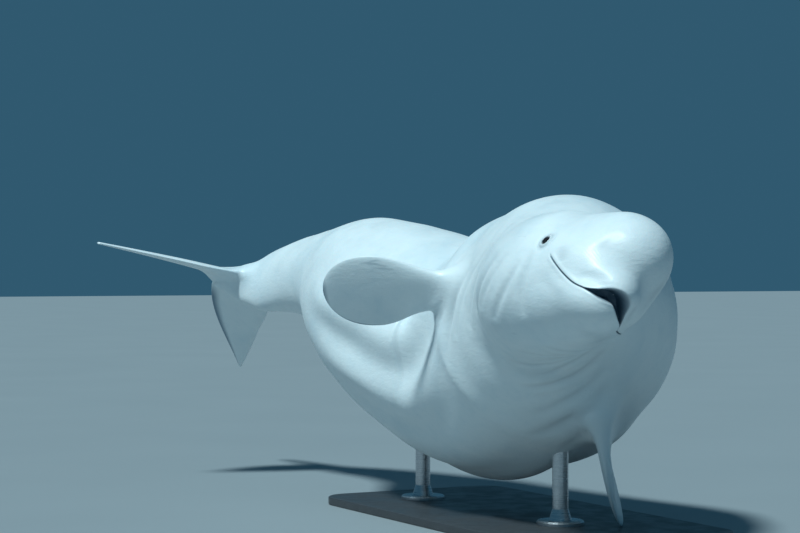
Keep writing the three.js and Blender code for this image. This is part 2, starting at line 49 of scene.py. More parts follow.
# The straight whale is set out in mm as (back, left, up) from the tip of the beak,
# the same way as in the part's source, and then bent along the swimming spine.
trunkSections = {
    "back": [300, 450, 700, 1000, 1200, 1400, 1900, 2400, 2900, 3300, 3650, 3800, 3950, 4200],
    "halfWidth": [110, 225, 281, 384, 442, 487, 485, 429, 330, 198, 110, 83, 61, 30],
    "rise": [110, 215, 276, 365, 405, 450, 465, 440, 370, 247, 180, 156, 106, 24],
    "drop": [110, 235, 322, 426, 486, 520, 495, 445, 352, 215, 172, 160, 108, 24],
    "aside": [0, 0, 0, 5, 12, 4, 0, 0, 0, 0, 0, 0, 0, 0],
}
headMasses = {  # centre, radii, how softly it blends in
    "cranium": ((430, 0, 20), (260, 215, 230), 100),
    "throat": ((420, 0, -60), (260, 180, 180), 80),
    "leftCheek": ((290, 66, -30), (170, 120, 112), 70),
    "rightCheek": ((290, -66, -30), (170, 120, 112), 70),
    "melon": ((224, 0, 84), (194, 162, 163), 70),
    "upperJaw": ((205, 0, -78), (172, 120, 78), 55),
    "upperLip": ((84, 0, -96), (62, 58, 34), 50),
    "lowerJaw": ((250, 0, -158), (176, 116, 62), 60),
    "chin": ((152, 0, -166), (76, 78, 46), 50),
}
swimmingPose = {  # degrees at places along the back
    "back": [0, 420, 750, 1100, 1600, 2200, 2800, 3400, 3850, 4150],
    "heading": [0.3, 0.3, -44, -29.5, -4.5, 13, -0.5, 7.5, 15, 24],
    "pitch": [4.7, 4.7, 1.4, 16, 24.5, -17.5, -16.5, -2, 8, -8],
    "roll": [44, 44, 44, 43.5, 40, 34, 29, 25.5, 25, 26],
}
body = {
    "headCentre": 450,
    "headEnd": 900,  # no mass of the head reaches further back
    "beakHeight": -110,
    "gridPole": -128,  # the grid's rows meet inside the mouth
    "around": 448,
    "headRows": 260,
    "trunkRows": 330,
    "lastRow": 4198,
    "evenRows": 0.45,  # the share of the trunk's spacing that is even; the rest is closer in front
    "rowCrowding": 1.6,
    "trunkScale": 0.95,  # brings the trunk's own measure of distance close to mm
    "spineStep": 10,
    "spineEnd": 4500,
    "floorDrop": 956,
    "standUnder": 1780,
}
rays = {"farthest": 750, "coarseSteps": 24, "halvings": 18}
far = 1e9
millimetres = 1000  # to a metre


def length(v):
    return np.linalg.norm(v, axis=-1)


def unit(v):
    return v / (np.linalg.norm(v, axis=-1, keepdims=True) + 1e-12)


def between(start, end, share):
    return start + (end - start) * share


def ease(x, low, high):
    t = np.clip((x - low) / (high - low), 0, 1)
    return t * t * (3 - 2 * t)


def hump(x, centre, width):
    return np.exp(-(((x - centre) / width) ** 2))


def hermite(t, span, start, end, startSlope, endSlope):
    t2 = t * t
    t3 = t2 * t
    return (
        (2 * t3 - 3 * t2 + 1) * start
        + (t3 - 2 * t2 + t) * span * startSlope
        + (3 * t2 - 2 * t3) * end
        + (t3 - t2) * span * endSlope
    )


def smoothCurve(xs, ys):
    # a curve through the points that never overshoots them
    xs = np.array(xs, float)
    ys = np.array(ys, float)
    widths = np.diff(xs)
    slopes = np.diff(ys) / widths
    tangents = np.zeros(len(xs))
    for i in range(1, len(xs) - 1):
        before, after = slopes[i - 1], slopes[i]
        if before * after > 0:
            weightBefore = 2 * widths[i] + widths[i - 1]
            weightAfter = widths[i] + 2 * widths[i - 1]
            tangents[i] = (weightBefore + weightAfter) / (
                weightBefore / before + weightAfter / after
            )

    def at(x):
        x = np.clip(x, xs[0], xs[-1])
        i = np.clip(np.searchsorted(xs, x, side="right") - 1, 0, len(xs) - 2)
        t = (x - xs[i]) / widths[i]
        return hermite(t, widths[i], ys[i], ys[i + 1], tangents[i], tangents[i + 1])

    return at


halfWidthAt, riseAt, dropAt, asideAt = [
    smoothCurve(trunkSections["back"], trunkSections[key])
    for key in ("halfWidth", "rise", "drop", "aside")
]
headingAt, pitchAt, rollAt = [
    smoothCurve(swimmingPose["back"], swimmingPose[key])
    for key in ("heading", "pitch", "roll")
]


def ellipsoidDistance(points, centre, radii):
    scaled = (points - np.array(centre, float)) / np.array(radii, float)
    reach = length(scaled)
    return reach * (reach - 1) / (length(scaled / np.array(radii, float)) + 1e-9)


def smoothUnion(a, b, blend):
    share = np.clip(0.5 + 0.5 * (b - a) / blend, 0, 1)
    return b * (1 - share) + a * share - blend * share * (1 - share)


def skinDistance(points):
    # about the distance to the skin of the straight whale, below zero inside
    first = trunkSections["back"][0]
    back = np.maximum(points[..., 0], first)
    halfWidth = halfWidthAt(back)
    halfHeight = np.where(points[..., 2] > 0, riseAt(back), dropAt(back))
    reach = np.hypot((points[..., 1] - asideAt(back)) / halfWidth, points[..., 2] / halfHeight)
    distance = (reach - 1) * np.sqrt(halfWidth * halfHeight) * body["trunkScale"]
    distance = distance + np.maximum(0, first - points[..., 0])
    near = points[..., 0] < body["headEnd"]
    for centre, radii, blend in headMasses.values():
        distance[near] = smoothUnion(
            distance[near], ellipsoidDistance(points[near], centre, radii), blend
        )
    return distance


def castSkin(origins, directions):
    # walks in along each ray from far outside to the first skin it meets
    farthest, coarse = rays["farthest"], rays["coarseSteps"]
    inside = np.zeros(directions.shape[:-1])
    outside = np.full(inside.shape, float(farthest))
    found = np.zeros(inside.shape, bool)
    for i in range(1, coarse):
        reach = farthest * (1 - i / (coarse - 1))
        within = skinDistance(origins + directions * reach) < 0
        inside[within & ~found] = reach
        found |= within
        outside[~found] = reach
    for _ in range(rays["halvings"]):
        middle = (inside + outside) / 2
        within = skinDistance(origins + directions * middle[..., None]) < 0
        inside = np.where(within, middle, inside)
        outside = np.where(within, outside, middle)
    return (inside + outside) / 2


def onSide(backs, ups, side):
    # places on the straight skin, straight out to the left (1) or right (-1)
    backs, ups = np.array(backs, float), np.array(ups, float)
    origins = np.stack([backs, 0 * backs, ups], -1)
    directions = np.broadcast_to(np.array([0, side, 0], float), origins.shape)
    return origins + directions * castSkin(origins, directions)[:, None]


def nearestOn(line, points):
    # each point's distance to the nearest place of a line, and that place's number
    nearest = np.zeros(len(points), int)
    distance = np.full(len(points), far)
    for n, place in enumerate(line):
        away = length(points - place)
        closer = away < distance
        nearest[closer] = n
        distance[closer] = away[closer]
    return distance, nearest


def makeSpine():
    backs = np.arange(0, body["spineEnd"] + 1, body["spineStep"], dtype=float)
    heading, pitch, roll = [np.radians(at(backs)) for at in (headingAt, pitchAt, rollAt)]
    forward = np.stack(
        [np.cos(heading) * np.cos(pitch), np.sin(heading) * np.cos(pitch), np.sin(pitch)], 1
    )
    level = np.stack([-np.sin(heading), np.cos(heading), 0 * heading], 1)
    upright = np.cross(forward, level)
    left = level * np.cos(roll)[:, None] - upright * np.sin(roll)[:, None]
    up = upright * np.cos(roll)[:, None] + level * np.sin(roll)[:, None]
    centre = np.zeros((len(backs), 3))
    centre[0] = -body["beakHeight"] * up[0]
    steps = (forward[1:] + forward[:-1]) / 2 * body["spineStep"]
    centre[1:] = centre[0] - np.cumsum(steps, 0)
    return {"back": backs, "centre": centre, "forward": forward, "left": left, "up": up}


spine = makeSpine()


def spineAt(back):
    return [
        np.stack([np.interp(back, spine["back"], spine[key][:, k]) for k in range(3)], -1)
        for key in ("centre", "forward", "left", "up")
    ]


def findBeak():
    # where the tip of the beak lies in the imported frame: the stand's base is set out from it
    low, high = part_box("stand_base")
    middle = (low + high) / 2 * millimetres
    under = spineAt(body["standUnder"])[0]
    return np.array([middle.x - under[0], middle.y - under[1], body["floorDrop"]])


beakPlace = findBeak()


def bend(points):
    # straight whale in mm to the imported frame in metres
    back = np.clip(points[..., 0], 0, body["spineEnd"])
    centre, forward, left, up = spineAt(back)
    bent = centre + left * points[..., 1:2] + up * points[..., 2:3]
    bent = bent + forward * (back - points[..., 0])[..., None]
    return (bent + beakPlace) / millimetres


def bendDirection(back, direction):
    centre, forward, left, up = spineAt(np.array(float(back)))
    return unit(left * direction[1] + up * direction[2] - forward * direction[0])


def gridMesh(name, grid):
    # a closed tube of quads from rows of points, each end drawn together to a point
    rows, around = grid.shape[:2]
    verts = grid.reshape(-1, 3)
    i = np.arange(rows - 1)[:, None] * around
    j = np.arange(around)[None, :]
    k = (j + 1) % around
    quads = np.stack([i + j, i + k, i + around + k, i + around + j], -1).reshape(-1, 4)
    faces = quads.tolist()
    first, last = len(verts), (rows - 1) * around
    for n in range(around):
        m = (n + 1) % around
        faces.append([first, m, n])
        faces.append([first + 1, last + n, last + m])
    places = np.concatenate([verts, [grid[0].mean(0), grid[-1].mean(0)]])
    mesh = bpy.data.meshes.new(name)
    mesh.from_pydata(places.tolist(), [], faces)
    mesh.shade_smooth()
    shape = bmesh.new()
    shape.from_mesh(mesh)
    inward = shape.calc_volume(signed=True) < 0
    shape.free()
    if inward:
        mesh.flip_normals()
    return mesh


# Head and trunk
def straightGrid():
    # rays that fan out from the middle of the head, and then stand square to the trunk
    around, headRows, trunkRows = body["around"], body["headRows"], body["trunkRows"]
    fanCentre = np.array([body["headCentre"], 0, 0], float)
    beakAxis = unit(np.array([0, 0, body["gridPole"]], float) - fanCentre)
    angle = np.arange(around) / around * 2 * math.pi
    row = np.arange(1, headRows + 1) / headRows
    axis = unit(np.array([-1.0, 0, 0]) * row[:, None] + beakAxis * (1 - row[:, None]))
    up = unit(np.array([0, 0, 1.0]) - axis * axis[:, 2:3])
    outward = (
        up[:, None, :] * np.cos(angle)[None, :, None]
        + np.array([0, 1.0, 0]) * np.sin(angle)[None, :, None]
    )
    opening = (row * math.pi / 2)[:, None, None]
    headDirections = unit(axis[:, None, :] * np.cos(opening) + outward * np.sin(opening))
    headOrigins = np.broadcast_to(fanCentre, headDirections.shape)
    trunkDirections = np.broadcast_to(
        np.stack([0 * angle, np.sin(angle), np.cos(angle)], -1), (trunkRows, around, 3)
    )
    share = np.arange(1, trunkRows + 1) / trunkRows
    spaced = body["evenRows"] * share + (1 - body["evenRows"]) * share ** body["rowCrowding"]
    trunkOrigins = np.zeros(trunkDirections.shape)
    trunkOrigins[..., 0] = between(body["headCentre"], body["lastRow"], spaced)[:, None]
    origins = np.concatenate([headOrigins, trunkOrigins])
    directions = np.concatenate([headDirections, trunkDirections])
    return origins, directions, castSkin(origins, directions)


mouth = {
    "back": [290, 257, 218, 160, 105, 75],
    "up": [-74, -100, -124, -148, -155, -151],
    "frontUp": -130,
    "halfGap": 2.2,
    "halfGapAtFront": 25,
    "opensFrom": 0.6,  # shares of the way from the corner to the front
    "cornerFade": 0.06,
    "depth": 11,
    "depthAtFront": 80,
    "slitEdge": (0.55, 1.25),  # in half gaps from the middle of the slit
    # how far the painted shade of the slit reaches, in half gaps from its middle
    "paintedShadeEdge": (0.7, 1.6),
    "lipWidth": 8,
    "lipHeight": 2.2,
    "lipPlace": 0.8,  # in lip widths from the edge
    "steps": 500,
    "backLimit": 330,  # all of it lies ahead of this and below the next
    "upLimit": -40,
}


def mouthCurve():
    # points round the mouth on the straight skin, right corner to left corner
    right, left = [onSide(mouth["back"], mouth["up"], side) for side in (-1, 1)]
    origin = np.array([[body["headCentre"], 0, mouth["frontUp"]]], float)
    ahead = np.array([[-1.0, 0, 0]])
    front = origin + ahead * castSkin(origin, ahead)[:, None]
    knots = np.concatenate([right, front, left[::-1]])
    along = np.concatenate([[0], np.cumsum(length(np.diff(knots, axis=0)))])
    slopes = np.gradient(knots, along, axis=0)
    share = np.linspace(0, along[-1], mouth["steps"])
    i = np.clip(np.searchsorted(along, share, side="right") - 1, 0, len(along) - 2)
    span = (along[i + 1] - along[i])[:, None]
    t = (share - along[i])[:, None] / span
    points = hermite(t, span, knots[i], knots[i + 1], slopes[i], slopes[i + 1])
    return points, share / along[-1]


def mouthDetail(points, reach, dark):
    # the slit, the rounded lips and the open front of the mouth, with painted shade in the slit and
    # the open front
    curve, shares = mouthCurve()
    near = (points[..., 0] < mouth["backLimit"]) & (points[..., 2] < mouth["upLimit"])
    distance, nearest = nearestOn(curve, points[near])
    towardsFront = (1 - np.abs(2 * shares - 1))[nearest]
    parted = ease(towardsFront, mouth["opensFrom"], 1)
    halfGap = between(mouth["halfGap"], mouth["halfGapAtFront"], parted)
    depth = between(mouth["depth"], mouth["depthAtFront"], parted)
    fade = ease(towardsFront, 0, mouth["cornerFade"])
    across = distance / halfGap
    slit = 1 - ease(across, *mouth["slitEdge"])
    lips = hump(distance, halfGap + mouth["lipWidth"] * mouth["lipPlace"], mouth["lipWidth"])
    reach[near] += fade * (mouth["lipHeight"] * lips - depth * slit)
    # painted shade inside the slit and the open front
    dark[near] = np.maximum(dark[near], fade * (1 - ease(across, *mouth["paintedShadeEdge"])))


eye = {
    "back": 346,
    "up": -22,
    "halfLength": 14,
    "halfHeight": 17,
    "depth": 17,
    "edge": (0.8, 1.05),  # in half sizes of the opening from its middle, as in the lines below
    "lid": (1.32, 0.26, 3.5),  # place, width and height in mm
    "hollow": (2.3, 0.6, 3),
    "fold": (1.85, 0.16, 1.5),
    "foldLength": 24,
    "lidShade": (1.1, 0.22, 0.4),  # place, width and strength
    "hollowShade": (1.9, 0.7, 0.16),
    "foldShade": 0.2,
    "within": 110,
}


def eyeDetail(points, reach, dark):
    # an almond opening with a swollen lid, a fold above and below, and a soft hollow around, with
    # painted shade in the opening, along the lid, in the fold and in the hollow
    for side in (-1, 1):
        centre = onSide([eye["back"]], [eye["up"]], side)[0]
        offset = points - centre
        beside = (points[..., 1] * side > 0) & (length(offset) < eye["within"])
        back, up = offset[..., 0][beside], offset[..., 2][beside]
        out = np.hypot(back / eye["halfLength"], up / eye["halfHeight"])
        hole = 1 - ease(out, *eye["edge"])
        lid, hollow, fold = [hump(out, *eye[key][:2]) for key in ("lid", "hollow", "fold")]
        fold = fold * hump(back, 0, eye["foldLength"])
        change = eye["lid"][2] * lid - eye["hollow"][2] * hollow - eye["fold"][2] * fold
        reach[beside] += change - eye["depth"] * hole
        # painted shade in the opening, along the lid, in the fold and round the hollow
        lidShade, hollowShade = [
            eye[key][2] * hump(out, *eye[key][:2]) for key in ("lidShade", "hollowShade")
        ]
        shade = np.maximum(np.maximum(hole, lidShade), eye["foldShade"] * fold + hollowShade)
        dark[beside] = np.maximum(dark[beside], shade)


face = {
    # furrows of each side as (back, up) places; width and depth in mm
    "furrows": {
        "melon": ([(80, 108), (92, 74), (102, 46), (111, 20), (121, -8), (146, -62)], 36, 4.5),
        "beak": ([(46, -92), (60, -95), (88, -101), (126, -108), (166, -116)], 19, 3.5),
        "cheek": ([(250, -40), (236, -72), (228, -96)], 26, 4),
        "jaw": ([(190, -186), (230, -182), (275, -168), (310, -144)], 22, 2.5),
    },
    "shadePerDepth": 0.05,
    "ends": (0.04, 0.96),  # no shallower than at these shares of a furrow's length
    "steps": 40,
    "backLimit": 430,
}


# shallow furrows on the face, each darkened with painted shade along its length
def faceDetail(points, reach, dark):
    near = points[..., 0] < face["backLimit"]
    chosen = points[near]
    change = np.zeros(len(chosen))
    shade = np.zeros(len(chosen))
    for places, width, depth in face["furrows"].values():
        steps = np.linspace(0, len(places) - 1, face["steps"])
        backs, ups = [smoothCurve(range(len(places)), values)(steps) for values in zip(*places)]
        for side in (-1, 1):
            distance, nearest = nearestOn(onSide(backs, ups, side), chosen)
            along = np.clip(nearest / (face["steps"] - 1), *face["ends"])
            furrow = depth * np.sin(math.pi * along) * hump(distance, 0, width)
            change -= furrow
            # painted shade in each furrow, deeper furrows darker
            shade = np.maximum(shade, face["shadePerDepth"] * furrow)
    reach[near] += change
    dark[near] = np.maximum(dark[near], shade)


blowhole = {
    "back": 372,
    "aside": 8,
    "halfWidth": 34,
    "sag": 14,
    "slit": 5,
    "slitEdge": (0.6, 1.3),  # in half widths of the slit from its middle
    "depth": 20,
    "shade": 0.9,
    "edgeShade": (0.25, 3),  # strength, and width in half widths of the slit
    "rimPlace": 0.9,  # in half widths from the middle, as is the next
    "rimWidth": 0.45,
    "rimLength": 22,
    "rimHeight": 5,
    "within": 90,
    "above": 100,
}


def blowholeDetail(points, reach, dark):
    # a crescent slit on the top of the head with a low swollen rim, and painted shade in the slit and
    # along its edges
    away = np.abs(points[..., 0] - blowhole["back"])
    top = (points[..., 2] > blowhole["above"]) & (away < blowhole["within"])
    across = (points[..., 1] - blowhole["aside"]) / blowhole["halfWidth"]
    middle = blowhole["back"] + blowhole["sag"] * across**2
    offset = (points[..., 0] - middle) / blowhole["slit"]
    taper = np.clip(1 - across**2, 0, 1) ** 0.5
    inside = np.abs(across) < 1
    opening = np.abs(offset) / np.maximum(taper, 0.05)
    slit = (1 - ease(opening, *blowhole["slitEdge"])) * inside
    out = np.hypot(across, (points[..., 0] - middle) / blowhole["rimLength"])
    rim = hump(out, blowhole["rimPlace"], blowhole["rimWidth"]) * blowhole["rimHeight"]
    reach += (rim - blowhole["depth"] * slit * taper) * top
    # painted shade in the slit and a softer band along it
    edgeShade, edgeWidth = blowhole["edgeShade"]
    shade = slit * blowhole["shade"] + edgeShade * hump(offset, 0, edgeWidth) * inside
    dark[top] = np.maximum(dark[top], shade[top])


folds = {
    # start and end as (back, degrees round from the top), width and depth in mm, on the right side
    "creases": [
        ((384, -112), (414, -158), 14, 5),
        ((425, -120), (548, -160), 12, 5),
        ((500, -112), (610, -150), 11, 4),
        ((560, -114), (720, -163), 16, 7),
        ((640, -118), (790, -150), 14, 4),
        ((720, -108), (930, -155), 19, 7),
        ((850, -116), (1130, -150), 20, 5),
        ((990, -122), (1340, -152), 26, 8),
        ((1150, -128), (1500, -140), 22, 4),
    ],
    "creaseBow": 0.075,  # how far the middle of a crease bows forward, as a share of its length
    "creaseSwell": (2.1, 1.4, 0.55),  # place and width in crease widths, height in depths
    "creaseShade": 1 / 42,
    "creaseEnds": (0.05, 0.95),
    "creaseFullness": 0.7,
    "creaseSteps": 30,
    "leftShift": (22, 4),
    # degrees round from the top, height in mm, where it starts and ends
    "flankRidges": [(112, 24, 1250, 2900), (143, 16, 1450, 2700)],
    "ridgeFade": (350, 450),
    "ridgeWidth": 0.16,  # in radians round the trunk, as are the next two
    "ridgeValley": 0.3,
    "ridgeWander": 0.05,
    "wanderSpacing": 260,
    "valleyDepth": 0.75,
    "flankStep": {
        "back": 1975,
        "size": 20,
        "angles": (98, 134),
        "angleFade": (0.2, 0.3),
        "start": (-25, 15),
        "end": (60, 420),
        "shade": (-20, 16, 0.1),
    },
    "backRidge": {"start": 1850, "end": 2850, "size": 11, "width": 26, "fade": (150, 200)},
    "backBumps": {"size": 0.25, "spacing": 26, "back": 2300, "reach": 300},
}


def creaseDetail(back, angle, radius, reach, dark, shadedCrease, mirror):
    # one soft furrow with a swollen edge on each side, fading out at its ends, darkened with painted
    # shade in the furrow
    (startBack, startAngle), (endBack, endAngle), width, depth = shadedCrease
    if mirror:
        shiftBack, shiftAngle = folds["leftShift"]
        startBack, endBack = startBack + shiftBack, endBack + shiftBack
        startAngle, endAngle = -startAngle - shiftAngle, -endAngle + shiftAngle
    low, high = min(startBack, endBack) - 5 * width, max(startBack, endBack) + 5 * width
    near = (back > low) & (back < high)
    distance = np.full(near.sum(), far)
    along = np.zeros(near.sum())
    for t in np.linspace(0, 1, folds["creaseSteps"]):
        bow = folds["creaseBow"] * math.sin(math.pi * t)
        placeBack = between(startBack, endBack, t - bow)
        placeAngle = math.radians(between(startAngle, endAngle, t))
        away = np.hypot(back[near] - placeBack, (angle[near] - placeAngle) * radius[near])
        closer = away < distance
        distance[closer] = away[closer]
        along[closer] = t
    strength = np.sin(math.pi * between(*folds["creaseEnds"], along)) ** folds["creaseFullness"]
    furrow = hump(distance, 0, width)
    swellPlace, swellWidth, swellHeight = folds["creaseSwell"]
    swell = swellHeight * hump(distance, swellPlace * width, swellWidth * width)
    reach[near] += strength * depth * (swell - furrow)
    # painted shade in the furrow, stronger where it is deeper
    dark[near] = np.maximum(dark[near], strength * furrow * depth * folds["creaseShade"])


def flankDetail(back, angle, reach, dark):
    # ridges of blubber along the flanks, and the step where the flank begins, with a band of painted
    # shade just ahead of the step
    fadeIn, fadeOut = folds["ridgeFade"]
    for degrees, size, start, end in folds["flankRidges"]:
        along = ease(back, start, start + fadeIn) * (1 - ease(back, end - fadeOut, end))
        wander = folds["ridgeWander"] * np.sin(back / folds["wanderSpacing"])
        middle = np.radians(degrees) + wander
        ridge = hump(angle, middle, folds["ridgeWidth"])
        valley = hump(angle, middle + folds["ridgeValley"], folds["ridgeWidth"])
        reach += size * along * (ridge - folds["valleyDepth"] * valley)
    step = folds["flankStep"]
    first, last = np.radians(step["angles"])
    fadeIn, fadeOut = step["angleFade"]
    beside = ease(angle, first - fadeIn, first) * (1 - ease(angle, last, last + fadeOut))
    past = back - step["back"]
    reach += step["size"] * beside * ease(past, *step["start"]) * (1 - ease(past, *step["end"]))
    # painted shade in a band just ahead of the step
    shadePlace, shadeWidth, shade = step["shade"]
    dark[...] = np.maximum(dark, shade * beside * hump(past, shadePlace, shadeWidth))


def backRidgeDetail(back, side, up, reach):
    # the low ridge that a beluga has in place of a back fin, slightly notched
    ridge, bumps = folds["backRidge"], folds["backBumps"]
    fadeIn, fadeOut = ridge["fade"]
    along = ease(back, ridge["start"], ridge["start"] + fadeIn)
    along = along * (1 - ease(back, ridge["end"] - fadeOut, ridge["end"]))
    waves = np.sin(back / bumps["spacing"]) * hump(back, bumps["back"], bumps["reach"])
    across = hump(side, 0, ridge["width"]) * (up > 0)
    reach += ridge["size"] * along * across * (1 + bumps["size"] * waves)


def foldDetail(points, reach, dark):
    back, side, up = points[..., 0], points[..., 1], points[..., 2]
    angle = np.arctan2(side, up)
    radius = np.hypot(side, up)
    for shadedCrease in folds["creases"]:
        for mirror in (False, True):
            creaseDetail(back, angle, radius, reach, dark, shadedCrease, mirror)
    flankDetail(back, np.abs(angle), reach, dark)
    backRidgeDetail(back, side, up, reach)


unevenSkin = [(420, 7), (120, 1.6)]  # how wide and how high the skin's gentle swellings are


def unevenness(points, reach):
    for across, size in unevenSkin:
        values = [noise.noise(Vector(p) * (1 / across)) for p in points.reshape(-1, 3).tolist()]
        reach += size * np.array(values).reshape(reach.shape)


def makeBodyGrid():
    origins, directions, reach = straightGrid()
    points = origins + directions * reach[..., None]
    # painted shade, gathered by the details below, darkens furrows, folds and openings
    dark = np.zeros(reach.shape)
    unevenness(points, reach)
    foldDetail(points, reach, dark)
    faceDetail(points, reach, dark)
    eyeDetail(points, reach, dark)
    blowholeDetail(points, reach, dark)
    mouthDetail(points, reach, dark)
    return origins + directions * reach[..., None], dark


bodyGrid, paintedShade = makeBodyGrid()
print("head and trunk shaped:", bodyGrid.shape[0] * bodyGrid.shape[1], "points")

# Fins
finFullness = (0.7, 0.3)  # even thickness, and what the front half has more and the rear half less
flipper = {
    "length": 525,
    "rootChord": 115,
    "chord": 300,
    "widestAt": 0.6,
    "tipRoundness": 2.3,
    "tipBluntness": 0.004,
    "thickness": 84,
    "tipThickness": 22,
    "thinning": 0.8,
    "tipTaper": 14,
    "tipFullness": 0.02,
    "sunk": 90,
    "bendOver": 110,
    "curl": 42,
    "curlGrowth": 2.5,
    "rows": 150,
    "rowCrowding": 1.25,
    "around": 160,
    "fillet": 110,
    "right": {"back": 1200, "around": 124, "out": (0.25, -0.7, -0.665), "lead": (-0.66, -0.55, 0.48)},
    "left": {"back": 1180, "around": -124, "out": (0.8, 0.52, -0.3), "lead": (-0.6, 0.5, -0.62)},
}
flipperShade = {
    "rearEdge": (0.94, 1.0),
    "tipEdge": 0.985,
    "fromRoot": (0.5, 0.8),
    # scratches near the front edge: where each starts and ends, and its share of the half chord
    "scratches": [(0.4, 0.6, 0.72), (0.45, 0.68, 0.8), (0.5, 0.62, 0.87)],
    "scratchWidth": 0.022,
    "scratchWander": 0.03,
    "scratchStrength": 0.45,
}
fluke = {
    "front": 3880,
    "notch": 4225,
    "tip": 4400,
    "tipChord": 22,
    "halfSpan": 645,
    "sweep": 1.25,
    "lobe": 95,
    "lobeShape": (0.75, 1.2),
    "rise": 30,
    "thickness": 60,
    "tipThickness": 15,
    "thinning": 1.1,
    "droop": {"right": 0.32, "left": 0.5},
    "stiffSpan": 150,
    "rows": 260,
    "rowCrowding": 1.2,
    "around": 72,
    "fillet": 100,
    "rimAcross": (0.6, 1),
    "rimFrom": (0.1, 0.3),
}


def finSection(around):
    # round one section: the share towards the front edge, and the share of the half thickness
    turn = np.arange(around) / around * 2 * math.pi
    even, uneven = finFullness
    return np.cos(turn), np.sin(turn) * (even + uneven * np.cos(turn))


def flipperChord(share):
    eased = ease(share, 0, flipper["widestAt"])
    inner = between(flipper["rootChord"], flipper["chord"], eased)
    towardsTip = np.clip((share - flipper["widestAt"]) / (1 - flipper["widestAt"]), 0, 1)
    rounded = np.maximum(flipper["tipBluntness"], 1 - towardsTip ** flipper["tipRoundness"])
    return np.where(share < flipper["widestAt"], inner, flipper["chord"] * np.sqrt(rounded))


def flipperThickness(share):
    eased = share ** flipper["thinning"]
    thickness = between(flipper["thickness"], flipper["tipThickness"], eased)
    tapered = np.clip(1 - share ** flipper["tipTaper"], flipper["tipFullness"], 1)
    return thickness * np.sqrt(tapered)


def flipperLine(root, square, out, reach):
    # leaves the body square to the skin and bends over to its own direction
    steps = np.arange(-flipper["sunk"], flipper["length"] + 1.0)
    turned = ease(steps, -flipper["sunk"], flipper["bendOver"])[:, None]
    directions = unit(square * (1 - turned) + out * turned)
    line = np.cumsum(directions, 0)
    line = line - line[flipper["sunk"]] + root
    return [
        np.stack([np.interp(reach, steps, values[:, k]) for k in range(3)], -1)
        for values in (line, directions)
    ]


def flipperRim(outShare, towardsLead):
    # the darker rear and tip edges, and fine scratches near the front edge
    look = flipperShade
    edge = np.maximum(-towardsLead[None, :], outShare[:, None] * look["tipEdge"])
    rim = ease(edge, *look["rearEdge"]) * ease(outShare, *look["fromRoot"])[:, None]
    for start, end, height in look["scratches"]:
        place = (outShare[:, None] - start) / (end - start)
        wander = height + look["scratchWander"] * np.sin(place * 3 + height * 30)
        mark = hump(towardsLead[None, :], wander, look["scratchWidth"])
        mark = mark * (place > 0) * (place < 1) * np.sin(math.pi * np.clip(place, 0, 1))
        rim = np.maximum(rim, look["scratchStrength"] * mark)
    return rim


def flipperGrid(side):
    pose = flipper[side]
    angle = math.radians(pose["around"])
    outward = np.array([[0, -math.sin(angle), math.cos(angle)]])
    origin = np.array([[pose["back"], 0, 0]], float)
    root = bend(origin + outward * castSkin(origin, outward)[:, None])[0] * millimetres
    share = np.linspace(0, 1, flipper["rows"])
    share = 1 - (1 - share) ** flipper["rowCrowding"]
    reach = between(-flipper["sunk"], flipper["length"], share)
    square = bendDirection(pose["back"], outward[0])
    middle, out = flipperLine(root, square, bendDirection(pose["back"], pose["out"]), reach)
    lead = bendDirection(pose["back"], pose["lead"])
    lead = unit(lead - out * (out @ lead)[:, None])
    palm = np.cross(lead, out) if side == "right" else np.cross(out, lead)
    outShare = np.clip(reach / flipper["length"], 0, 1)
    middle = middle - palm * (flipper["curl"] * outShare ** flipper["curlGrowth"])[:, None]
    towardsLead, fullness = finSection(flipper["around"])
    halfChord, halfThickness = flipperChord(outShare) / 2, flipperThickness(outShare) / 2
    grid = (
        middle[:, None, :]
        + lead[:, None, :] * (halfChord[:, None] * towardsLead)[..., None]
        + palm[:, None, :] * (halfThickness[:, None] * fullness)[..., None]
    )
    return grid / millimetres, flipperRim(outShare, towardsLead)


def flukeGrid():
    # one blade from the right tip across the tail to the left tip
    across = np.linspace(-1, 1, fluke["rows"])
    across = np.sign(across) * (1 - (1 - np.abs(across)) ** fluke["rowCrowding"])
    share = np.abs(across)
    front = between(fluke["front"], fluke["tip"], share ** fluke["sweep"])
    placeGrowth, roundness = fluke["lobeShape"]
    lobe = fluke["lobe"] * np.sin(math.pi * share**placeGrowth) ** roundness
    rear = between(fluke["notch"], fluke["tip"] + fluke["tipChord"], share) + lobe
    thickness = between(fluke["thickness"], fluke["tipThickness"], share ** fluke["thinning"])
    span = fluke["halfSpan"] * share
    droopShare = np.where(across > 0, fluke["droop"]["left"], fluke["droop"]["right"])
    droop = droopShare * span**2 / (span + fluke["stiffSpan"])
    towardsFront, fullness = finSection(fluke["around"])
    points = np.zeros((fluke["rows"], fluke["around"], 3))
    points[..., 0] = ((front + rear) / 2)[:, None] - towardsFront * ((rear - front) / 2)[:, None]
    points[..., 1] = (np.sign(across) * span)[:, None]
    points[..., 2] = (fluke["rise"] - droop)[:, None] + fullness * (thickness / 2)[:, None]
    rim = ease(-towardsFront, *fluke["rimAcross"])[None, :]
    return bend(points), rim * ease(share, *fluke["rimFrom"])[:, None]


# Joining the fins to the body
seam = {
    "liftRounds": 12,
    "searchMargin": 1.05,  # in fillet sizes
    "reach": 0.035,  # how far from a fin's seam the skin is evened out, in metres
    "rounds": 40,
    "strength": 0.6,
}


def placesOf(mesh):
    places = np.zeros(len(mesh.vertices) * 3)
    mesh.vertices.foreach_get("co", places)
    return places.reshape(-1, 3)


def movePlaces(mesh, places):
    mesh.vertices.foreach_set("co", places.ravel())
    mesh.update()


def treeOf(mesh):
    return BVHTree.FromPolygons(
        [v.co for v in mesh.vertices], [tuple(p.vertices) for p in mesh.polygons]
    )


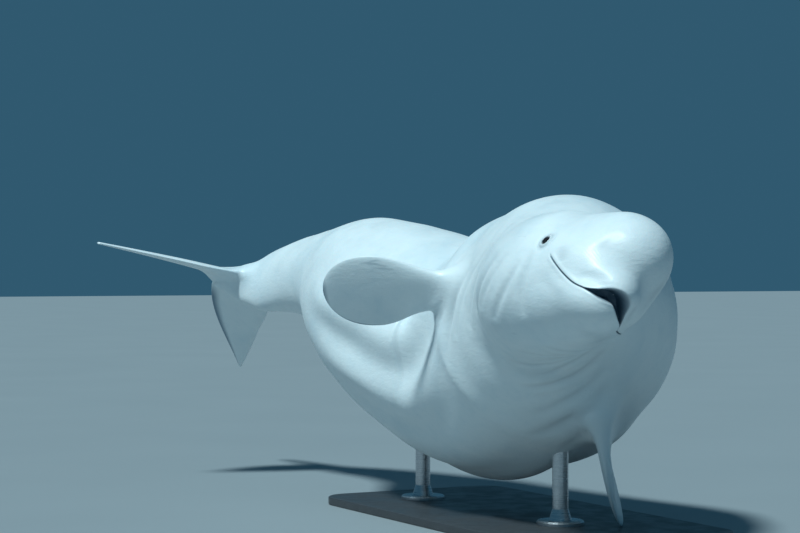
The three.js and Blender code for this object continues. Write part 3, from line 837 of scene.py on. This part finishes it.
def filletLift(distance, size):
    # how far a smooth union of this size lifts one surface at a distance from the other
    lift = np.zeros(distance.shape)
    for _ in range(seam["liftRounds"]):
        lift = size / 4 * np.clip(1 - (distance - lift) / size, 0, 1) ** 2
    return np.minimum(lift, size / 4)


def blendTowards(mesh, otherTree, size):
    # the places of one surface, lifted where it comes near the other
    places = placesOf(mesh)
    normals = np.zeros(places.size)
    mesh.vertex_normals.foreach_get("vector", normals)
    distances = np.full(len(places), far)
    for n, place in enumerate(places.tolist()):
        hit, outward, number, away = otherTree.find_nearest(place, size * seam["searchMargin"])
        if hit is not None:
            distances[n] = 0 if (Vector(place) - hit).dot(outward) < 0 else away
    return places + normals.reshape(-1, 3) * filletLift(distances, size)[:, None]


def seamShare(places, bodyTree, finTrees):
    # one where the surfaces of the body and of a fin cross, falling to nothing away from there
    share = np.zeros((len(places), 1))
    for n, place in enumerate(places.tolist()):
        hits = [tree.find_nearest(place, seam["reach"]) for tree in finTrees]
        away = [hit[3] for hit in hits if hit[0] is not None]
        onBody = bodyTree.find_nearest(place, seam["reach"]) if away else (None,)
        if onBody[0] is not None:
            share[n] = 1 - max(min(away), onBody[3]) / seam["reach"]
    return share


def smoothSeams(mesh, bodyTree, finTrees):
    places = placesOf(mesh)
    share = seamShare(places, bodyTree, finTrees)
    count = len(places)
    ends = np.zeros(len(mesh.edges) * 2, int)
    mesh.edges.foreach_get("vertices", ends)
    start, end = ends.reshape(-1, 2).T
    neighbours = np.maximum(np.bincount(ends, minlength=count), 1)[:, None]
    for _ in range(seam["rounds"]):
        sums = [
            np.bincount(start, places[end, k], count) + np.bincount(end, places[start, k], count)
            for k in range(3)
        ]
        places += seam["strength"] * share * (np.stack(sums, 1) / neighbours - places)
    movePlaces(mesh, places)


def shadedObject(mesh, key, shade):
    # an object that carries the skin's two marks as attributes, the painted shade of the body's
    # furrows and openings and the darker fin edges, one of them all nought
    values = np.zeros(len(mesh.vertices))
    values[: shade.size] = shade.ravel()
    for name in ("shadedCrease", "rim"):
        layer = mesh.attributes.new(name, "FLOAT", "POINT")
        layer.data.foreach_set("value", values if name == key else 0 * values)
    obj = bpy.data.objects.new(mesh.name, mesh)
    bpy.context.collection.objects.link(obj)
    return obj


def joined(obj, others, name):
    # one closed surface of the object and the others
    for other in others:
        union = obj.modifiers.new("join" + other.name, "BOOLEAN")
        union.operation = "UNION"
        union.solver = "MANIFOLD"
        union.object = other
    evaluated = obj.evaluated_get(bpy.context.evaluated_depsgraph_get())
    mesh = bpy.data.meshes.new_from_object(evaluated)
    mesh.name = name
    return mesh


def makeSkin():
    bodyMesh = gridMesh("whaleBody", bend(bodyGrid))
    fins = []
    for name, fin, (grid, rim) in (
        ("flipperRight", flipper, flipperGrid("right")),
        ("flipperLeft", flipper, flipperGrid("left")),
        ("flukes", fluke, flukeGrid()),
    ):
        fins.append((gridMesh(name, grid), fin["fillet"] / millimetres, rim))
    bodyTree = treeOf(bodyMesh)
    bodyPlaces = placesOf(bodyMesh)
    bodyLift = np.zeros(bodyPlaces.shape)
    for mesh, size, rim in fins:
        lifted = blendTowards(mesh, bodyTree, size)
        bodyLift += blendTowards(bodyMesh, treeOf(mesh), size) - bodyPlaces
        movePlaces(mesh, lifted)
    movePlaces(bodyMesh, bodyPlaces + bodyLift)
    # the body carries the painted shade of its furrows, folds and openings
    skin = shadedObject(bodyMesh, "shadedCrease", paintedShade)
    others = [shadedObject(mesh, "rim", rim) for mesh, size, rim in fins]
    mesh = joined(skin, others, "whaleSkin")
    smoothSeams(mesh, treeOf(bodyMesh), [treeOf(other.data) for other in others])
    skin.modifiers.clear()
    skin.data = mesh
    skin.name = "whaleSkin"
    mesh.shade_smooth()
    for other in others:
        bpy.data.objects.remove(other)
    return skin


skin = makeSkin()
print("skin joined:", len(skin.data.polygons), "faces")


# Materials
def newMaterial(name):
    material = bpy.data.materials.new(name)
    material.use_nodes = True
    nodes = material.node_tree.nodes
    nodes.clear()
    output = nodes.new("ShaderNodeOutputMaterial")
    shader = nodes.new("ShaderNodeBsdfPrincipled")
    material.node_tree.links.new(shader.outputs["BSDF"], output.inputs["Surface"])
    return material, shader


class Nodes:
    # short ways to add the nodes of one material
    def __init__(self, material):
        self.tree = material.node_tree

    def put(self, value, socket):
        if isinstance(value, bpy.types.NodeSocket):
            self.tree.links.new(value, socket)
        else:
            socket.default_value = value

    def place(self):
        return self.tree.nodes.new("ShaderNodeTexCoord").outputs["Object"]

    def attribute(self, name):
        node = self.tree.nodes.new("ShaderNodeAttribute")
        node.attribute_name = name
        return node.outputs["Fac"]

    def stretch(self, where, scale, turn):
        node = self.tree.nodes.new("ShaderNodeMapping")
        self.put(where, node.inputs["Vector"])
        node.inputs["Scale"].default_value = scale
        node.inputs["Rotation"].default_value = turn
        return node.outputs["Vector"]

    def span(self, value, limits, result=(0.0, 1.0)):
        node = self.tree.nodes.new("ShaderNodeMapRange")
        node.interpolation_type = "SMOOTHSTEP"
        self.put(value, node.inputs["Value"])
        for key, number in zip(("From Min", "From Max", "To Min", "To Max"), limits + result):
            node.inputs[key].default_value = number
        return node.outputs["Result"]

    def pattern(self, where, look):
        # a noise as the look says, stretched and cut to a span where it says so
        if "stretch" in look:
            where = self.stretch(where, look["stretch"], look.get("turn", (0, 0, 0)))
        node = self.tree.nodes.new("ShaderNodeTexNoise")
        self.put(where, node.inputs["Vector"])
        node.inputs["Scale"].default_value = look["scale"]
        node.inputs["Detail"].default_value = look["detail"]
        node.inputs["Distortion"].default_value = look.get("distortion", 0.0)
        value = node.outputs["Fac"]
        if "span" in look:
            value = self.span(value, look["span"], look.get("result", (0.0, 1.0)))
        return value

    def math(self, kind, a, b):
        node = self.tree.nodes.new("ShaderNodeMath")
        node.operation = kind
        self.put(a, node.inputs[0])
        self.put(b, node.inputs[1])
        return node.outputs[0]

    def mix(self, share, a, b):
        node = self.tree.nodes.new("ShaderNodeMix")
        node.data_type = "RGBA"
        self.put(share, node.inputs["Factor"])
        self.put(a, node.inputs["A"])
        self.put(b, node.inputs["B"])
        return node.outputs["Result"]

    def bump(self, height, distance, strength=1.0, below=None):
        node = self.tree.nodes.new("ShaderNodeBump")
        self.put(height, node.inputs["Height"])
        node.inputs["Distance"].default_value = distance
        node.inputs["Strength"].default_value = strength
        if below is not None:
            self.put(below, node.inputs["Normal"])
        return node.outputs["Normal"]


skinLook = {
    "white": (0.80, 0.87, 0.89, 1),
    "cool": (0.56, 0.70, 0.77, 1),
    "grey": (0.30, 0.41, 0.49, 1),
    # the colour of painted shade in furrows, folds and openings
    "shadedCrease": (0.07, 0.13, 0.19, 1),
    "rim": (0.10, 0.19, 0.27, 1),
    "patches": {"scale": 2.4, "detail": 5, "distortion": 0.6, "span": (0.45, 0.7)},
    "patchStrength": 0.4,
    "mottle": {"scale": 24, "detail": 6, "span": (0.45, 0.75)},
    "mottleStrength": 0.16,
    "longMarks": {
        "stretch": (3, 60, 60),
        "turn": (0.2, 0.3, 0.5),
        "scale": 2.2,
        "detail": 3,
        "distortion": 0.8,
        "span": (0.71, 0.77),
    },
    "crossMarks": {
        "stretch": (70, 4, 50),
        "turn": (0.6, -0.4, 0.2),
        "scale": 1.7,
        "detail": 2,
        "distortion": 0.6,
        "span": (0.74, 0.79),
    },
    "markStrength": 0.22,
    "roughness": {"scale": 9, "detail": 4, "span": (0.3, 0.7), "result": (0.42, 0.6)},
    "pores": {"scale": 260, "detail": 4},
    "poreHeight": 0.0006,
    "wrinkles": {"stretch": (1, 1, 2.2), "scale": 26, "detail": 5, "distortion": 0.5},
    "wrinkleHeight": 0.0022,
    "wrinkleStrength": 0.6,
    "coat": 0.12,
    "coatRoughness": 0.25,
    "glow": 0.06,
    "glowReach": (0.02, 0.012, 0.01),
}


def skinMaterial():
    material, shader = newMaterial("whiteSkin")
    n = Nodes(material)
    place = n.place()
    patches = n.math("MULTIPLY", n.pattern(place, skinLook["patches"]), skinLook["patchStrength"])
    mottle = n.math("MULTIPLY", n.pattern(place, skinLook["mottle"]), skinLook["mottleStrength"])
    longMarks, crossMarks = [n.pattern(place, skinLook[key]) for key in ("longMarks", "crossMarks")]
    marks = n.math("MAXIMUM", longMarks, crossMarks)
    colour = n.mix(patches, skinLook["white"], skinLook["cool"])
    colour = n.mix(mottle, colour, skinLook["cool"])
    colour = n.mix(n.math("MULTIPLY", marks, skinLook["markStrength"]), colour, skinLook["grey"])
    colour = n.mix(n.attribute("rim"), colour, skinLook["rim"])
    # painted shade: furrows, folds, the mouth, the eye openings and the blowhole darken towards a
    # dark blue grey
    colour = n.mix(n.attribute("shadedCrease"), colour, skinLook["shadedCrease"])
    n.put(colour, shader.inputs["Base Color"])
    n.put(n.pattern(place, skinLook["roughness"]), shader.inputs["Roughness"])
    fine = n.bump(n.pattern(place, skinLook["pores"]), skinLook["poreHeight"])
    wrinkles = n.pattern(place, skinLook["wrinkles"])
    normal = n.bump(wrinkles, skinLook["wrinkleHeight"], skinLook["wrinkleStrength"], fine)
    n.put(normal, shader.inputs["Normal"])
    shader.inputs["Coat Weight"].default_value = skinLook["coat"]
    shader.inputs["Coat Roughness"].default_value = skinLook["coatRoughness"]
    shader.inputs["Subsurface Weight"].default_value = skinLook["glow"]
    shader.inputs["Subsurface Radius"].default_value = skinLook["glowReach"]
    return material


eyeLook = {
    "dark": (0.008, 0.007, 0.007, 1),
    "brown": (0.03, 0.022, 0.018, 1),
    "flecks": {"scale": 60, "detail": 3, "span": (0.4, 0.7)},
    "roughness": 0.06,
    "coat": 1.0,
}


def eyeMaterial():
    material, shader = newMaterial("darkEye")
    n = Nodes(material)
    flecks = n.pattern(n.place(), eyeLook["flecks"])
    n.put(n.mix(flecks, eyeLook["dark"], eyeLook["brown"]), shader.inputs["Base Color"])
    shader.inputs["Roughness"].default_value = eyeLook["roughness"]
    shader.inputs["Coat Weight"].default_value = eyeLook["coat"]
    return material


baseLook = {
    "dark": (0.035, 0.038, 0.042, 1),
    "light": (0.06, 0.064, 0.07, 1),
    "grain": {"scale": 180, "detail": 5},
    "grainHeight": 0.0004,
    "roughness": {"scale": 12, "detail": 4, "span": (0.3, 0.7), "result": (0.36, 0.5)},
}


def baseMaterial():
    material, shader = newMaterial("satinBase")
    n = Nodes(material)
    place = n.place()
    grain = n.pattern(place, baseLook["grain"])
    n.put(n.mix(grain, baseLook["dark"], baseLook["light"]), shader.inputs["Base Color"])
    n.put(n.pattern(place, baseLook["roughness"]), shader.inputs["Roughness"])
    n.put(n.bump(grain, baseLook["grainHeight"]), shader.inputs["Normal"])
    return material


steelLook = {
    "dark": (0.5, 0.51, 0.53, 1),
    "light": (0.66, 0.67, 0.69, 1),
    "brushed": {"stretch": (4, 4, 300), "scale": 1.5, "detail": 3},
    "brushedHeight": 0.0003,
    "roughness": ((0.3, 0.7), (0.24, 0.4)),
}


def steelMaterial():
    material, shader = newMaterial("brushedSteel")
    n = Nodes(material)
    brushed = n.pattern(n.place(), steelLook["brushed"])
    n.put(n.mix(brushed, steelLook["dark"], steelLook["light"]), shader.inputs["Base Color"])
    n.put(n.span(brushed, *steelLook["roughness"]), shader.inputs["Roughness"])
    n.put(n.bump(brushed, steelLook["brushedHeight"]), shader.inputs["Normal"])
    shader.inputs["Metallic"].default_value = 1.0
    return material


def dress(obj, material):
    obj.data.materials.clear()
    obj.data.materials.append(material)


dress(skin, skinMaterial())
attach(skin, "root")
fleshNodes = [
    "head",
    "neck",
    "chest",
    "belly",
    "tail_stock",
    "flipper_right",
    "flipper_left",
    "fluke_right",
    "fluke_left",
]
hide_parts(*fleshNodes)
nodes = frame["nodes"]
for side in ("right", "left"):
    dress(nodes["eye_" + side], eyeMaterial())
    nodes["eye_" + side].data.shade_smooth()
dress(nodes["stand_base"], baseMaterial())
for place in ("front", "rear"):
    dress(nodes["stand_rod_" + place], steelMaterial())
print("materials done")

# Room: floor, light and camera
room = {
    "floorHalf": 60,
    "floorColour": (0.27, 0.31, 0.33, 1),
    "floorTint": (0.30, 0.34, 0.36, 1),
    "floorPattern": {"scale": 0.8, "detail": 3},
    "floorRoughness": 0.7,
    "backdrop": (0.03, 0.10, 0.16, 1),
    "lightFrom": (-0.38, -0.35, 0.86),  # right, away and up as the camera sees it
    "lightPower": 3.35,
    "lightSoftness": 8,
    "lightColour": (0.78, 0.96, 1),
}
# The camera's turn in degrees, the beak's tip seen from it in metres (right, away, up), and its lens
view = {"yaw": 62, "beak": (0.7557, 6.6, -0.09405), "lens": 90, "sensor": 36, "farthest": 200}


def makeFloor():
    half = room["floorHalf"]
    mesh = bpy.data.meshes.new("floor")
    corners = [(-half, -half, 0), (half, -half, 0), (half, half, 0), (-half, half, 0)]
    mesh.from_pydata(corners, [], [(0, 1, 2, 3)])
    floor = bpy.data.objects.new("floor", mesh)
    bpy.context.collection.objects.link(floor)
    material, shader = newMaterial("paleFloor")
    n = Nodes(material)
    tint = n.pattern(n.place(), room["floorPattern"])
    n.put(n.mix(tint, room["floorColour"], room["floorTint"]), shader.inputs["Base Color"])
    shader.inputs["Roughness"].default_value = room["floorRoughness"]
    dress(floor, material)


def cameraPlace():
    turn = Matrix.Rotation(math.radians(view["yaw"]), 3, "Z")
    return Vector((beakPlace / millimetres).tolist()) - turn @ Vector(view["beak"]), turn


def makeLights():
    turn = cameraPlace()[1]
    data = bpy.data.lights.new("overhead", "SUN")
    data.energy = room["lightPower"]
    data.angle = math.radians(room["lightSoftness"])
    data.color = room["lightColour"]
    light = bpy.data.objects.new("overhead", data)
    towardsLight = turn @ Vector(room["lightFrom"])
    light.rotation_euler = towardsLight.to_track_quat("Z", "Y").to_euler()
    bpy.context.collection.objects.link(light)
    world = bpy.data.worlds.new("softSky")
    world.use_nodes = True
    background = world.node_tree.nodes["Background"]
    background.inputs["Color"].default_value = room["backdrop"]
    background.inputs["Strength"].default_value = 1.0
    bpy.context.scene.world = world
    bpy.context.scene.view_settings.view_transform = "Standard"


def makeCamera():
    place, turn = cameraPlace()
    data = bpy.data.cameras.new("photoCamera")
    data.lens = view["lens"]
    data.sensor_width = view["sensor"]
    data.clip_end = view["farthest"]
    camera = bpy.data.objects.new("photoCamera", data)
    camera.location = place
    camera.rotation_euler = (turn @ Vector((0, 1, 0))).to_track_quat("-Z", "Y").to_euler()
    bpy.context.collection.objects.link(camera)
    bpy.context.scene.camera = camera


makeFloor()
makeLights()
makeCamera()
print("floor, lights and camera done")
